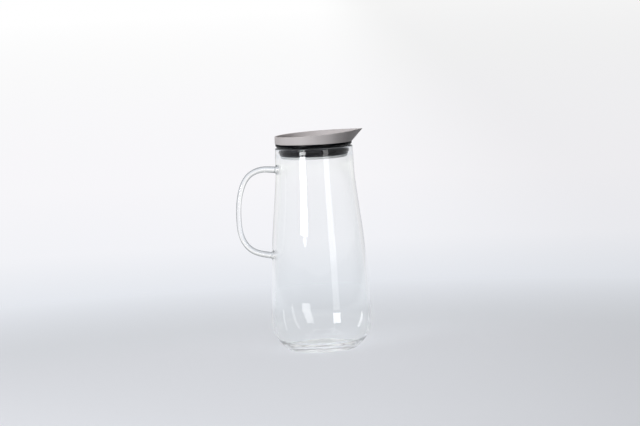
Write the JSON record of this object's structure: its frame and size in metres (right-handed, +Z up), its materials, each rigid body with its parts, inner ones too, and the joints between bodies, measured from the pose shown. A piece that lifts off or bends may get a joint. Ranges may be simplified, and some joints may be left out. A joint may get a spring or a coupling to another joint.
{
  "type": "glass jug",
  "caption": "Clear glass water jug with a welded rod handle and a plug-in lid: grey beaked collar, black gasket and a weighted tilting flap that opens on pouring.",
  "frame": {"origin": "centre of the glass foot on the plane that the jug stands on", "axes": "+Z up along the jug's axis, +X towards the tip of the spout, the handle 18 degrees off -X towards -Y"},
  "size_m": [0.149, 0.115, 0.2505],
  "materials": {
    "clear_glass": "fire-polished clear borosilicate glass",
    "stone_plastic": "fine matt warm grey moulding",
    "pale_plastic": "matt light grey moulding",
    "black_silicone": "smooth satin silicone",
    "stainless_steel": "turned and tumbled stainless steel"
  },
  "bodies": {
    "jug": {"glass_body": "clear_glass", "glass_handle": "clear_glass"},
    "gasket_ring": {"gasket": "black_silicone"},
    "lid": {"lid_shell": "stone_plastic", "lid_core": "pale_plastic", "hinge_pin": "stainless_steel"},
    "pour_flap": {"flap": "stone_plastic", "flap_seal": "black_silicone", "counterweight": "stainless_steel", "weight_screws": "stainless_steel"}
  },
  "joints": [
    {"name": "lid_lift", "type": "slide", "parent": "jug", "child": "gasket_ring", "axis": [0, 0, 1], "range_m": [0, 0.04]},
    {"name": "lid_turn", "type": "hinge", "parent": "gasket_ring", "child": "lid", "pos_m": [0, 0, 0.237], "axis": [0, 0, 1], "continuous": true},
    {"name": "flap_tilt", "type": "hinge", "parent": "lid", "child": "pour_flap", "pos_m": [-0.008, 0, 0.2314], "axis": [0, -1, 0], "range_deg": [0, 55]}
  ]
}
